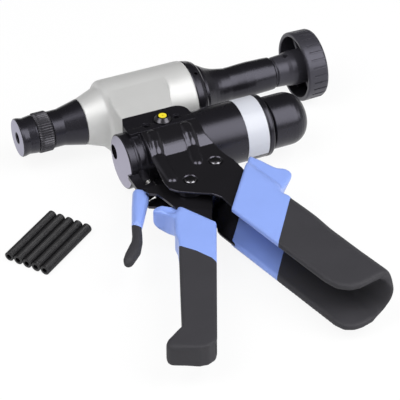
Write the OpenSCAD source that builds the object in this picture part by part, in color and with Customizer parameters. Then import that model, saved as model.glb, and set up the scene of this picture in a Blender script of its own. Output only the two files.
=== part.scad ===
// Hand-operated hydraulic rivet nut tool, lying on its side, with loose threaded mandrels.
// X runs back along the head from the anvil face, Y from the handles up to the head, Z is up.
// The sub-parts are solids of their own and sit in place; the moving ones are shown at rest.

/* [Head] */
// diameter of the head housing's front part
head_d = 44.4; // [42:0.2:48]
// length of the whole head housing along the axis
head_len = 70.6; // [68:0.1:74]
// front end of the head housing, measured from the anvil face
head_x = 40.8; // [40:0.1:42]
// bore of the working cylinder
cyl_d = 33.2; // [30:0.2:34]
// travel of the working piston
stroke = 6; // [4:0.5:7]
// diameter of the anvil face
anvil_d = 23.8; // [22:0.2:26]
// clearance hole in the anvil
anvil_bore_d = 6.6; // [6.4:0.1:7.6]
// diameter of the knurled lock ring
ring_d = 24.9; // [24:0.1:27]
// thread core diameter of the mandrel socket
socket_d = 5; // [4:0.1:5.4]

/* [Rear drive] */
// diameter of the rear sleeve at its swell
sleeve_d = 21.9; // [21.6:0.1:24]
// diameter of the handwheel over its ribs
wheel_d = 44.8; // [42:0.2:50]
// depth of the handwheel rim
wheel_w = 14.3; // [12:0.1:18]
// number of grip grooves round the handwheel
wheel_grooves = 28; // [16:1:30]
// number of webs inside the handwheel
wheel_webs = 6; // [4:1:8]

/* [Pump] */
// distance from the head axis to the pump axis
pump_off = 48.2; // [47:0.1:50]
// outer diameter of the reservoir tube
tube_d = 38.4; // [37.6:0.1:40]
// length of the visible reservoir tube
tube_len = 44.8; // [40:0.2:60]
// diameter of the rubber end boot
boot_d = 32.8; // [30:0.1:35]
// diameter of the pump plunger
plunger_d = 7; // [6:0.1:7.2]

/* [Handles] */
// angle of the fixed rear handle from the pump's normal
rear_angle = 14.5; // [12:0.5:16]
// angle of the moving front handle from the pump's normal, open
front_angle = 24.5; // [23:0.5:27]
// half thickness of the rear handle over its cover
rear_hz = 13.7; // [13.4:0.1:15]
// half thickness of the front handle over its cover
front_hz = 6.9; // [6.7:0.1:7.4]
// pressed sheet thickness of the handle frames
sheet = 1.6; // [1.2:0.1:2]

/* [Mandrels] */
// thread diameter of the loose mandrels
mandrel_d = 6; // [5:0.1:6]
// length of a mandrel
mandrel_len = 45; // [35:1:50]

/* [Hidden] */
$fn = 72;

hr = head_d/2;               // head radius
cr = cyl_d/2;                // cylinder bore radius
head_end = head_x + head_len;
seat = head_end + 7.45;      // front face of the rear sleeve, behind the end ring
rod_end = seat + 30.15;      // rear end of the piston rod
wheel_x = seat + 67.65;      // front edge of the handwheel rim
wheel_end = wheel_x + wheel_w;
base_y = -(pump_off - 16.2); // joint face between head housing and pump body
base_hw = 18;                // half width of that face
ph = 18.6;                   // half width of the pump block
pr = tube_d/2;               // reservoir and pump top radius
sr = pr + 0.3;               // outer radius of the frame's wrap
pb = sr - sheet - 0.12;      // barrel of the pump body, inside the wrap
tb = pr - 3;                 // bore of the reservoir tube
cz = 12.2;                   // outer half width of the rear frame
ci = cz - sheet;             // inner half width of the rear frame
py = -pump_off;
body_x0 = 48;                // machined front face of the pump body
body_x1 = 96;                // joint between pump body and reservoir
tube_x1 = body_x1 + tube_len + 0.2;
bore_y = py + 11.2;          // relief valve bore in the pump body's front face
plug_o = [77.1, py + 5];     // filler plug
pin_b = [72, py - 46.9];     // front handle's pivot
pin_d = [92.8, py - 36.4];   // fixed pin of the rear frame
rear_o = [91.9, py - 35.8];  // origin of the rear handle's own axes
roll_r = 4.2;
roll_l = [12.4, -1.2];       // roller centre from the pivot, unturned
trig_o = [49, py - 33.8];    // trigger pivot
trig_hz = 2.4;               // half thickness of the trigger's steel
pin_x = 55;                  // release pin axis
plx = pin_b[0] + 12.3;       // plunger axis
fz = 5.6;                    // outer half width of the front frame
fi = fz - sheet;             // inner half width of the front frame
floor_z = -wheel_d/2;        // what the tool lies on

function arc(c, r, a0, a1, n=8) = [for (i = [0:n]) [c[0] + r*cos(a0 + (a1-a0)*i/n),
    c[1] + r*sin(a0 + (a1-a0)*i/n)]];

// solid of revolution about the X direction; points are [x, radius]
module rev(pts) rotate([0, 90, 0]) rotate_extrude() polygon([for (p = pts) [p[1], p[0]]]);
module cx(x0, x1, r) translate([x0, 0, 0]) rotate([0, 90, 0]) cylinder(h = x1 - x0, r = r);
module cy(x, y0, y1, r, z = 0) translate([x, y0, z]) rotate([-90, 0, 0]) cylinder(h = y1 - y0, r = r);
module cz0(x, y, z0, z1, r) translate([x, y, z0]) cylinder(h = z1 - z0, r = r);
module plate(pts, z0, z1) translate([0, 0, z0]) linear_extrude(z1 - z0) polygon(pts);
module both_z() { children(); mirror([0, 0, 1]) children(); }
module at_pump() translate([0, py, 0]) children();
// block along X from a profile in the Y-Z plane
module bar(pts, x0, x1) translate([x0, 0, 0]) rotate([90, 0, 90]) linear_extrude(x1 - x0) polygon(pts);
// coil spring along +X, swept as a closed skin
module coil(x0, x1, rm, rw, turns, n = 16, m = 6) {
  k = ceil(turns*n);
  polyhedron([for (i = [0:k]) for (j = [0:m-1]) let (a = 360*turns*i/k, b = 360*j/m, q = rm + rw*cos(b))
    [x0 + rw + (x1 - x0 - 2*rw)*i/k + rw*sin(b), q*cos(a), q*sin(a)]],
    concat([[for (j = [0:m-1]) j]], [for (i = [0:k-1]) for (j = [0:m-1]) each
      [[i*m + (j+1)%m, i*m + j, (i+1)*m + j], [i*m + (j+1)%m, (i+1)*m + j, (i+1)*m + (j+1)%m]]],
      [[for (j = [m-1:-1:0]) k*m + j]]));
}
module hexcut(x0, x1, af) translate([x0, 0, 0]) rotate([0, 90, 0]) cylinder(h = x1 - x0, r = af/sqrt(3),
    $fn = 6);

// straight round bar from p to q and on past q by e; its start is domed
module rod(p, q, r, e) {
  v = q - p;
  translate(p) rotate([0, acos(v[2]/norm(v)), atan2(v[1], v[0])]) rotate_extrude() intersection() {
    union() { circle(r); translate([-r, 0]) square([2*r, norm(v) + e]); }
    translate([0, -r]) square([r, 2*r + norm(v)]);
  }
}
function rot2(p, a) = [p[0]*cos(a) - p[1]*sin(a), p[0]*sin(a) + p[1]*cos(a)];
function rw(pts) = [for (p = pts) rear_o + rot2(p, rear_angle)];
function fw(pts) = [for (p = pts) pin_b + rot2(p, -front_angle)];
module in_rear() translate([rear_o[0], rear_o[1], 0]) rotate([0, 0, rear_angle]) children();
module in_front() translate([pin_b[0], pin_b[1], 0]) rotate([0, 0, -front_angle]) children();
// handle section in X-Z with a rounded back, drawn from y = 0 down to y = -len
module handle_bar(w0, w1, hz, r, len) rotate([90, 0, 0]) linear_extrude(len) union() {
  translate([w0, -hz]) square([w1 - r - w0, 2*hz]);
  translate([w0, -hz + r]) square([w1 - w0, 2*hz - 2*r]);
  for (s = [-1, 1]) translate([w1 - r, s*(hz - r)]) circle(r);
}

// head
module head_housing() color("silver") {
  bx = head_x;
  e = head_end;
  dc = norm([base_y, base_hw]);
  ta = atan(base_hw/-base_y) + acos(hr/dc) - 3;
  difference() {
    union() {
      rev(concat([[bx, 0], [bx, 13.9], [bx + 0.5, 14.4]], arc([bx + 17.2, hr - 4.4], 4.4, 165, 90, 6),
        [[bx + 52, hr - 0.1], [e - 2.4, hr - 0.1], [e - 0.7, hr - 0.4], [e, hr - 0.8], [e, 0]]));
      intersection() {
        bar([[2, 0], [-hr*cos(ta), hr*sin(ta)*0.992], [base_y, base_hw], [base_y, -base_hw],
          [-hr*cos(ta), -hr*sin(ta)*0.992]], 50, 100);
        plate([[55.6, base_y], [88.2, base_y], [90, -27], [94, -12], [94, 3], [57.5, 3], [55, -18]], -30, 30);
      }
    }
    cx(bx - 1, bx + 11.9, 11.05);
    cx(bx, 65, 8.04);
    cx(60.2, 62.4, 9.4);
    cx(64, e + 1, cr);
    cy(66.6, base_y - 1, -cr + 2, 1.5);
    for (x = [60.5, 84]) both_z() cy(x, base_y - 1, base_y + 8, 2.5, 12.5);
  }
}
module nosepiece() color("black") difference() {
  rev([[10.9, 0], [10.9, 10.2], [20.4, 10.2], [20.4, 11.0], [20.8, 11.4], [27.6, 11.4], [head_x - 0.2, 14.4],
    [head_x - 0.1, 14.2], [head_x, 11], [head_x + 11.5, 11], [head_x + 11.5, 0]]);
  cx(10, 18.8, 8.04);
  cx(18, head_x + 12, 8.3);
}
module lock_ring() color("dimgray") difference() {
  rr = ring_d/2;
  rev([[10.9, 0], [10.9, rr - 0.5], [11.5, rr], [18.2, rr], [18.5, rr - 0.6], [18.9, rr - 0.6],
      [19.1, rr - 0.2],
    [19.8, rr - 0.3], [20.3, rr - 1.2], [20.3, 0]]);
  cx(10, 21, 10.25);
}
module anvil() color("black") {
  r = anvil_d/2;
  b = anvil_bore_d/2;
  difference() {
    rev([[0, 0], [0, r - 0.5], [0.5, r], [2, r], [5, r - 0.7], [9.8, r - 0.15], [10.3, r - 0.15],
        [10.7, r - 0.6],
      [10.7, 8], [18.2, 8], [18.6, 7.6], [18.6, 0]]);
    cx(-1, 20, b);
    rev([[-0.1, 0], [-0.1, b + 0.65], [0.55, b], [0.55, 0]]);
    cx(13, 20, 6.6);
  }
}
module end_cap() color("black") {
  e = head_end;
  difference() {
    rev([[e - 9.7, 0], [e - 9.7, cr - 0.6], [e - 9.2, cr - 0.05], [e + 0.05, cr - 0.05], [e + 0.05, hr - 1.1],
      [e + 0.6, hr - 0.8], [e + 4.4, hr - 1.6], [e + 6.5, hr - 2.5], [e + 7.4, hr - 3.4], [e + 7.4, 0]]);
    cx(e - 10, e + 9, 9.04);
    cx(e - 6, e - 3.8, 10.4);
    cx(e + 3.9, e + 9, 12.05);
    for (a = [20, 140, 260]) rotate([a, 0, 0]) translate([e + 3.6, 0, 16]) cylinder(h = 8, r = 1.2);
  }
}
module rear_sleeve() color("black") {
  e = seat;
  q = sleeve_d/2;
  difference() {
    rev([[e - 3.4, 0], [e - 3.4, 12], [e + 0.05, 12], [e + 0.05, q + 6.5], [e + 2.2, q + 5.95],
      [e + 5.4, q + 4], [e + 7.6, q + 2.8], [e + 10.6, q + 1.55], [e + 13.2, q + 0.8], [e + 16.2, q + 0.2],
      [e + 20.2, q - 0.5], [e + 24.2, q - 0.45], [e + 30.2, q - 0.15], [e + 36.2, q], [e + 41.2, q - 0.2],
      [e + 46.8, q - 0.35], [e + 50.6, q - 0.6], [e + 51.4, q - 1.2], [e + 51.4, 0]]);
    cx(e - 5, e + 44.4, 9.3);
    cx(e, e + 53, 6.1);
  }
}
// ring seals that stay with the housing: front gland and rear gland
module cylinder_seals() color("#222222") {
  difference() { cx(60.3, 62.3, 9.3); cx(60, 63, 8.06); }
  difference() { cx(head_end - 5.9, head_end - 3.9, 10.3); cx(head_end - 7, head_end - 3, 9.06); }
}
module piston() color("gainsboro") difference() {
  union() {
    cx(42.4, 71, 8);
    cx(64.6, 79, cr - 0.04);
    cx(78, rod_end, 9);
  }
  cx(40, rod_end + 1, 4.25);
  cx(40, 50, 6.4);
  difference() { cx(70, 74, cr + 1); cx(69, 75, cr - 2.6); }
}
module piston_seal() color("#303030") difference() { cx(70.1, 73.9, cr - 0.05); cx(70, 74, cr - 2.55); }
module return_spring() color("silver") coil(79.1, head_end - 9.8, 13, 1.25, 4.5, 20);
module drive_shaft() color("silver") difference() {
  union() {
    cx(34.2, rod_end + 3.2, 4);
    cx(rod_end + 3.1, rod_end + 7.5, 8.4);
    cx(rod_end + 7.4, wheel_end - 7.1, 5.6);
  }
  cx(wheel_end - 15, wheel_end - 6, 3.2);
}
module mandrel_adapter() color("dimgray") difference() {
  rev([[19.4, 0], [19.4, 5.6], [20.2, 6.3], [33, 6.3], [33, 7.7], [41.8, 7.7], [41.8, 0]]);
  cx(18, 32, socket_d/2);
  cx(33.5, 43, 4.0);
}
module thrust_bearing() color("silver") {
  for (x = [rod_end + 0.15, rod_end + 2.2]) difference() { cx(x, x + 0.75, 8.4); cx(x - 1, x + 2, 4.3); }
  for (i = [0:9]) rotate([36*i, 0, 0]) translate([rod_end + 1.55, 0, 6.4]) sphere(0.64);
}
module handwheel() color("black") {
  r = wheel_d/2;
  x0 = wheel_x;
  x1 = wheel_end;
  difference() {
    union() {
      rev([[x0 - 15.9, 0], [x0 - 15.9, 8.8], [x0 - 14.8, 8.8], [x0 - 14.8, 9.4], [x0 - 14.2, 9.7],
        [x0 - 10.5, 9.95], [x0 - 7.5, 10.1], [x0 - 5, 10.8], [x0 - 2, 11.2], [x1 - 3.4, 11.2],
        [x1 - 3.4, r - 2.7], [x0 + 0.4, r - 2.7], [x0, r - 2.3], [x0, r - 0.8], [x0 + 0.6, r - 0.1], [x0 + 1.2, r],
        [x0 + 3, r], [x1 - 1.8, r - 0.25], [x1 - 0.5, r - 0.9], [x1, r - 2], [x1, 0]]);
      for (i = [0:wheel_webs-1]) rotate([i*360/wheel_webs + 15, 0, 0])
        translate([x0 + 5.5, -1.1, 8]) cube([wheel_w - 6.7, 2.2, r - 10]);
    }
    cx(x0 - 17, x1 - 7, 5.64);
    cx(x1 - 8, x1 + 1, 3.2);
    cx(x1 - 3.9, x1 + 1, 6.2);
    for (i = [0:wheel_grooves-1]) rotate([i*360/wheel_grooves, 0, 0])
      translate([x0 + 3.6, -0.65, r - 0.8]) cube([wheel_w, 1.3, 3]);
    translate([x0 - 6.5, 0, 0]) cylinder(h = 14, r = 1.6);
  }
}
module wheel_screw() color("dimgray") difference() {
  x1 = wheel_end;
  union() { cx(x1 - 13.8, x1 - 4, 3.15); cx(x1 - 3.8, x1 - 1.1, 5.6); cx(x1 - 4.1, x1 - 3, 3.15); }
  hexcut(x1 - 3, x1, 4);
}

// pump
module pump_body() color("black") difference() {
  union() {
    at_pump() {
      rev([[body_x0, 0], [body_x0, pb - 1.6], [body_x0 + 0.6, pb - 1.0], [52.6, pb - 1.0], [53, pb - 1.6],
        [54.1, pb - 1.6], [54.4, pb - 1.1], [54.8, pb - 0.9], [58.3, pb - 0.9], [58.7, pb], [body_x1, pb],
        [body_x1, 0]]);
      cx(body_x1 - 1, body_x1 + 6, tb + 0.3);
    }
    intersection() {
      union() {
        bar([[base_y, ph], [py - 1.4, ph], [py - 1.4, -ph], [base_y, -ph]], 50, 97);
        at_pump() cx(50, 97, pr);
      }
      plate(concat([[55.7, base_y], [53.4, -38.4], [53.4, py - 1.4], [95.7, py - 1.4], [95.7, -41.5]],
        arc([88.3, -39.6], 7.4, 0, 90, 6)), -30, 30);
    }
    both_z() plate(concat([[61.4, -58], [61, -92]], arc(pin_b, 9.4, 190, 300, 6), [[87, -97]],
      arc(pin_d, 8, -60, 10, 4), [[98.6, -75], [95.8, -66], [95.8, -58]]), 6.1, ci - 0.15);
    cy(plx, -77.5, -60, 6.4);
    plate(concat([[45.9, -63]], arc(trig_o, 3.1, 180, 360), [[52.1, -63]]), -1.2, 1.2);
    cy(pin_x, -73, -62, 3);
  }
  translate([53.5, base_y, -30]) cube([60, 20, 60]);
  at_pump() difference() { cx(body_x1 + 2.9, body_x1 + 5.1, pr); cx(body_x1 + 2, body_x1 + 6, tb - 1.1); }
  translate([0, bore_y, 0]) { cx(40, 60.2, 4.6); cx(60, 63.4, 2.7); cx(63, 67, 1); }
  cy(plx, -82, -41.7, plunger_d/2 + 0.04);
  cy(plx, -72.4, -70.2, plunger_d/2 + 1.5);
  translate([0, -42.5, 0]) cx(pin_x, body_x1 + 8, 1.3);
  cy(66.6, -43, base_y + 1, 1.5);
  for (p = [[66, -44.3], [86.1, -43]]) { cz0(p[0], p[1], 3.9, 25, 2.7); cz0(p[0], p[1], -1, 5, 1.1); }
  cz0(plug_o[0], plug_o[1], 11, 25, 2.9);
  cz0(plug_o[0], plug_o[1], ph - 0.1, 25, 5.3);
  cz0(plug_o[0], plug_o[1] + 0.6, -1, 12, 0.9);
  cy(pin_x, -75, -58, 1.55);
  cy(pin_x, -60, -51, 2.5);
  cy(pin_x, -52, -42.5, 1.2);
  translate([pin_x, -57, 0]) cylinder(h = 10.1, r = 1);
  translate([0, -57, 9]) cx(pin_x, body_x1 + 8, 1.1);
  both_z() { cz0(pin_b[0], pin_b[1], 5, 12, 3.02); cz0(pin_d[0], pin_d[1], 5, 12, 2.6); }
  cz0(trig_o[0], trig_o[1], -3, 3, 1.5);
  for (x = [60.5, 84]) both_z() cy(x, base_y - 9, base_y + 1, 2.5, 12.5);
}
module relief_screw() color("dimgray") translate([0, bore_y, 0]) difference() {
  union() { cx(53, 58.5, 4.55); cx(58.4, 60, 0.9); }
  hexcut(52, 55.6, 4);
}
module relief_spring() color("silver") translate([0, bore_y, 0]) coil(58.6, 61.35,
    1.3, 0.2, 3.5, 14);
module relief_ball() color("silver") translate([62, bore_y, 0]) sphere(1.2);
module check_balls() color("silver") for (p = [[66, -44.3], [86.1, -43]]) translate([p[0], p[1],
    5.08]) sphere(1.6);
module check_springs() color("silver") for (p = [[66, -44.3], [86.1, -43]]) translate([p[0], p[1], 6.4])
  rotate([0, -90, 0]) coil(0, 6.4, 1.7, 0.3, 4, 14);
module gallery_plugs() color("dimgray") for (p = [[66, -44.3], [86.1, -43]]) translate([p[0], p[1],
    13]) difference() {
  cylinder(h = 5.2, r = 2.68);
  translate([0, 0, 3]) cylinder(h = 4, r = 3/sqrt(3), $fn = 6);
}
module bleed_plug() color("dimgray") translate([plug_o[0], plug_o[1], 0]) difference() {
  union() {
    cz0(0, 0, 12.2, 18.7, 2.85);
    translate([0, 0, ph - 0.1]) cylinder(h = 1.3, r = 5.2);
    translate([0, 0, ph + 1.2]) cylinder(h = 2.2, r1 = 5.2, r2 = 3.4);
  }
  cz0(0, 0, ph + 2.0, ph + 5, 2.45);
}
module plug_insert() color("yellow") translate([plug_o[0], plug_o[1], 0]) difference() {
  cz0(0, 0, ph + 2.0, ph + 3.7, 2.43);
  cz0(0, 0, ph + 2.6, ph + 5, 0.5);
}
// ring seal between the pump body's spigot and the reservoir tube
module port_seals() color("#222222") at_pump() difference() {
  cx(body_x1 + 3, body_x1 + 5, tb + 0.34);
  cx(body_x1 + 2, body_x1 + 6, tb - 1.08);
}
module plunger() color("silver") {
  y0 = pin_b[1] + rot2(roll_l, 0)[1] + roll_r + 0.1;
  cy(plx, y0, -47.5, plunger_d/2);
  cy(plx, y0 + 2.2, y0 + 4, 5.4);
}
module plunger_seal() color("#222222") difference() {
  cy(plx, -72.3, -70.3, plunger_d/2 + 1.45);
  cy(plx, -73, -69, plunger_d/2 + 0.05);
}
module plunger_spring() color("silver") translate([plx, -77.6, 0]) rotate([0, 0, -90])
  coil(0, 10.3, 4.6, 0.55, 3.5);
module release_pin() color("silver") {
  cy(pin_x, -77.4, -64, 1.5);
  cy(pin_x, -64.1, -60.7, 0.9);
  cy(pin_x, -77.4, -76.2, 2.4);
}
module release_spring() color("silver") translate([pin_x, -73.1, 0]) rotate([0, 0, -90]) coil(0, 3.05,
    2.0, 0.28, 2.5, 14);
module release_ball() color("silver") translate([pin_x, -58.6, 0]) sphere(2);
module reservoir_tube() color("black") at_pump() {
  a = body_x1 + 0.1;
  b = tube_x1;
  difference() {
    rev([[a, 0], [a, pr - 0.3], [a + 0.3, pr], [b - 4, pr], [b - 3.7, pr - 0.3], [b - 3.2, pr - 0.3],
        [b - 2.9, pr + 0.1],
      [b - 1, pr + 0.1], [b - 0.3, pr - 0.4], [b, pr - 1.4], [b, 14.8], [b + 7, 14.8], [b + 7, 0]]);
    cx(a - 1, a + 6.2, tb + 0.37);
    cx(a - 1, b - 1.5, tb);
    cx(b - 2, b + 8, 12.8);
  }
}
module label() color("white") at_pump() difference() {
  intersection() {
    cx(tube_x1 - 18, tube_x1 - 4.2, pr + 0.12);
    rotate([42.5, 0, 0]) translate([tube_x1 - 19, -50, 5.45]) cube([18, 100, 30]);
  }
  cx(50, 200, pr + 0.01);
}
module float_piston() color("gainsboro") at_pump() difference() {
  cx(122, 131, tb - 0.07);
  cx(125, 132, tb - 4.2);
  difference() { cx(123.4, 125.2, pr); cx(123, 126, tb - 1.6); }
}
module float_seal() color("#222222") at_pump() difference() {
  cx(123.5, 125.1, tb - 0.08);
  cx(123, 126, tb - 1.55);
}
module end_boot() color("#1a1a1a") at_pump() {
  b = tube_x1 + 1.9;
  q = boot_d/2;
  difference() {
    rev(concat([[b, 0], [b, q - 0.5], [b + 0.6, q], [b + 13.2, q]], arc([b + 13.2, q - 11.8], 11.8, 90, 8, 8),
      [[b + 25.1, 3], [b + 25.2, 0]]));
    rev(concat([[b - 1, 0], [b - 1, 14.85], [b + 12.4, 14.85]], arc([b + 12.6, q - 12],
        10.2, 90, 8, 6), [[b + 23, 0]]));
  }
}

// rear handle
th0 = acos(sr/norm([20.8, cz])) * -1 + atan2(20.8, cz);   // slope of the cheek's shoulder
yo = py - (sr - cz*cos(th0))/sin(th0);                    // outer crease
yi = py - (sr - sheet - ci*cos(th0))/sin(th0);            // inner crease
rear_edge = [[8, -19], [8.6, -46], [10.2, -56], [13, -72], [13.2, -90], [11.4, -105], [11.2, -116],
    [12.4, -130],
  [9.6, -136.4], [4, -138.8], [-6, -138.8]];
rear_flat = concat(rw([[-19.8, -43.5], [-19.8, -130], [-18, -135.4], [-13, -138.6]]),
  [for (i = [10:-1:0]) rw(rear_edge)[i]], [[103.2, -88.5], [101.3, -82.7], [100, -77.4], [99.3, yo]],
  [[59.4, yo], [57, -92.6], [57.6, -98], [60.6, -102], [69.6, -107.8], [78.2, -112.6], [81.6, -117.6]]);
module rear_core() intersection() {
  union() {
    both_z() plate(rear_flat, ci, cz);
    plate(concat(rw(rear_edge), [for (i = [10:-1:0]) rw([rear_edge[i] + (i < 8 ? [-sheet, 0] : [-0.4,
        sheet])])[0]]), -cz, cz);
  }
  union() {
    plate(rw([[-60, -38], [60, -38], [60, 80], [-60, 80]]), -20, 20);
    in_rear() translate([0, -37, 0]) handle_bar(-60, 13.4, cz, 7.5, 120);
  }
}
module bead(p1, p2, p3, r) { rod(p1, p2, r, 0.7); rod(p3, p2, r, 0.7); }
module beads(r) both_z() for (b = [[66, 63.6, 62.6, -90.4], [87.2, 85.9, 82.8, -81]])
  bead([b[0], py - 17.5*sin(17.5), 17.5*cos(17.5)], [b[1], py - (17.5 - (cz - 2)*cos(th0))/sin(th0), cz - 2],
      [b[2], b[3], cz - 2], r);
module rear_frame() color("black") difference() {
  union() {
    rear_core();
    intersection() {
      union() {
        at_pump() cx(50, 105, sr);
        bar([[py - sr*sin(th0), sr*cos(th0)], [yo, cz], [yo - 0.5, cz], [yo - 0.5, -cz], [yo, -cz],
          [py - sr*sin(th0), -sr*cos(th0)]], 50, 105);
      }
      plate([[60.2, py - 1.5], [59.4, yo - 0.1], [99.3, yo - 0.1], [96.0, -62.5], [96.0, py - 1.5]], -30, 30);
    }
    beads(3.6);
  }
  at_pump() { cx(40, 110, sr - sheet); cx(body_x1 + 0.06, 110, sr + 0.06); }
  bar([[py - (sr - sheet)*sin(th0), (sr - sheet)*cos(th0)], [yi, ci], [-102, ci], [-102, -ci], [yi, -ci],
    [py - (sr - sheet)*sin(th0), -(sr - sheet)*cos(th0)]], 50, 97.5);
  bar([[yi + 1, ci], [-96, ci], [-96, -ci], [yi + 1, -ci]], 50, 104);
  beads(1.9);
  both_z() {
    cz0(pin_b[0], pin_b[1], 5, 20, 3.0);
    cz0(pin_d[0], pin_d[1], 5, 20, 2.5);
    cz0(pin_b[0], pin_b[1], cz - 0.9, 20, 4.3);
    cz0(pin_d[0], pin_d[1], cz - 0.9, 20, 4.3);
  }
}
rear_split = [[12.8, -54], [-21.5, -82.6]];
module rear_cavity(hz = ci) in_rear() plate([[-30, -20], [4.6, -20], [5.2, -46], [8.4, -70], [9.4, -90],
    [7.7, -105], [7.5, -117], [8.6, -130],
    [6, -134.4], [0, -136.2], [-15, -136.2], [-19, -133], [-21.4, -128], [-30, -127]], -hz, hz);
module rear_cover() color("#8caaeb") difference() {
  union() {
    intersection() {
      in_rear() handle_bar(-21.5, 18, rear_hz, 9.5, 150);
      plate(rw([[18, -10.3], [-21.5, -42.6], [-21.5, -82.6], [12.8, -54], [11.4, -50], [12.3, -47.2],
          [15.5, -44],
        [17, -30], [18, -18]]), -20, 20);
    }
    plate(rw([[12, -47.4], [15.5, -44], [19.5, -41.6], [26, -38.8], [29.4, -36.4], [31.1, -33.6],
        [31.2, -30.8], [29.9, -28.5],
      [26.9, -26.8], [25.2, -24.2], [23.1, -15], [21, -8], [18.6, -9.8], [12, -15.2]]), -10, 10);
  }
  rear_cavity();
  rear_core();
}
module rear_grip() color("#414143") difference() {
  intersection() {
    in_rear() handle_bar(-21.5, 16, rear_hz, 9.5, 150);
    plate(rw([[-21.5, -82.6], [-21.5, -131], [-20, -136.6], [-16, -140], [-11, -141.4], [5, -141.4],
        [10.6, -139],
      [14, -134.4], [14.8, -129], [13.3, -116], [13.5, -106], [15.1, -93], [15.4, -80], [15, -68],
          [12.8, -54]]), -20, 20);
  }
  rear_cavity();
  rear_core();
}
module pin2(p, r) translate([p[0], p[1], 0]) difference() {
  union() {
    cz0(0, 0, -cz - 0.4, cz + 0.4, r);
    both_z() { cz0(0, 0, cz - 0.85, cz - 0.1, 3.5); translate([0, 0,
        cz - 5.1]) intersection() { sphere(6.1); cz0(0, 0, 4.9, 8, 3.5); } }
  }
}
module pivot_pin() color("dimgray") pin2(pin_b, 2.97);
module frame_pin() color("dimgray") pin2(pin_d, 2.48);

// front handle, drawn in its own axes with the pivot at the origin
roll_l_t = rot2(roll_l, front_angle);
front_flat = concat([[-25.2, -3.2], [-24.6, -0.6], [-22.8, 1.8], [-20.4, 3.2], [-16, 3.7]], arc([0, 0],
    7.4, 150, 60, 4),
  arc(roll_l_t, 5.2, 80, -70, 6), [[12.6, -14], [12.2, -26], [13.2, -36], [13.2, -127], [12, -131.4],
      [8, -134.4], [-1.6, -134.4],
   [-1.9, -117], [-3, -83], [-3.9, -56], [-5, -46], [-6.2, -33], [-7.2, -20], [-11, -14.5], [-16, -8.4],
       [-19.4, -5.2], [-24, -4.8]]);
module front_core() in_front() {
  both_z() plate(front_flat, fi, fz);
  plate([[-7, -22], [-6.2, -33], [-5, -46], [-3.9, -56], [-3, -83], [-1.9, -117], [-1.6, -134.4], [8, -134.4],
    [8, -134.4 + sheet], [-1.6 + sheet, -134.4 + sheet], [-1.9 + sheet, -117], [-3 + sheet, -83],
        [-3.9 + sheet, -56],
    [-5 + sheet, -46], [-6.2 + sheet, -33], [-7 + sheet, -22]], -fz, fz);
}
module front_frame() color("black") difference() {
  front_core();
  cz0(pin_b[0], pin_b[1], -20, 20, 3.02);
  cz0(pin_b[0] + roll_l[0], pin_b[1] + roll_l[1], -20, 20, 1.8);
}
module front_cavity() in_front() plate([[-1.2, -10], [0.2, -56], [1.0, -83], [2.0, -117], [2.3, -131],
    [30, -131], [30, -10]], -fi, fi);
module front_cover() color("#8caaeb") difference() {
  union() {
    in_front() intersection() {
      translate([8, 0, 0]) mirror([1, 0, 0]) handle_bar(-6.7, 17, front_hz, 3, 80);
      plate([[-8.1, -18.9], [-6.3, -17.7], [14.4, -32.3], [14.7, -34], [14.7, -67.4], [12.1, -64.1],
          [3.7, -58.1], [-5.6, -53.8],
        [-6.4, -46.4], [-8, -42]], -20, 20);
    }
    in_front() plate([[-3, -42], [-6.9, -41], [-7.4, -38], [-8.6, -28.6], [-11, -24.8], [-14.2, -22.2],
      [-18.4, -21.2], [-20.4, -20.4], [-21.3, -19], [-20.8, -17.6], [-19.2, -16.8], [-15.4, -15.6],
      [-10.5, -15.6], [-8, -17.6], [-3, -20.6]], -6, 6);
  }
  front_cavity();
  front_core();
}
module front_grip() color("#414143") difference() {
  in_front() intersection() {
    translate([8, 0, 0]) mirror([1, 0, 0]) handle_bar(-6.7, 20, front_hz, 2.6, 150);
    plate([[-5.6, -53.8], [3.7, -58.1], [12.1, -64.1], [14.7, -67.4], [14.7, -128], [14, -131.4],
        [10.6, -134.9], [6, -136.3],
      [-8.6, -136.3], [-10.8, -135], [-11.6, -132.6], [-10.8, -130.4], [-3.1, -119.6], [-3.4, -115],
          [-4.6, -83]], -20, 20);
  }
  front_cavity();
  front_core();
}
module cam_roller() color("silver") translate([pin_b[0] + roll_l[0], pin_b[1] + roll_l[1],
    -3.6]) difference() {
  cylinder(h = 7.2, r = roll_r);
  translate([0, 0, -1]) cylinder(h = 10, r = 1.84);
}
module roller_pin() color("dimgray") cz0(pin_b[0] + roll_l[0], pin_b[1] + roll_l[1], -fz, fz, 1.79);

// release lever: a steel blade with a fork at its pivot, under a moulded cover and a tip
trig_l = [[42.5, -80.6], [37.2, -92.2], [30.3, -108.6]];
trig_r = [[33.6, -111.6], [37.6, -105.5], [41.9, -98.4], [45.6, -92.4], [48.4, -87.4], [48.9, -84.6],
  [47.8, -81.6], [45.6, -79.6], [43.6, -79.4]];
tip_l = [[30.3, -108.6], [27.5, -116.2], [25.1, -120.9], [17.9, -129.3], [15, -133.4], [14.4, -136],
  [15.6, -137.4]];
tip_r = [[18, -137], [25.2, -130.3], [29.6, -122.6], [31.8, -117], [33.6, -111.6]];
// outline moved inward by d, corner by corner
function inset(p, d) = let (n = len(p)) [for (i = [0:n-1]) let (
  u = p[i] - p[(i+n-1)%n], v = p[(i+1)%n] - p[i], a = u/norm(u), b = v/norm(v), k = 1 + a*b)
  p[i] + d*[-(a[1]+b[1]), a[0]+b[0]]/k];
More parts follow.
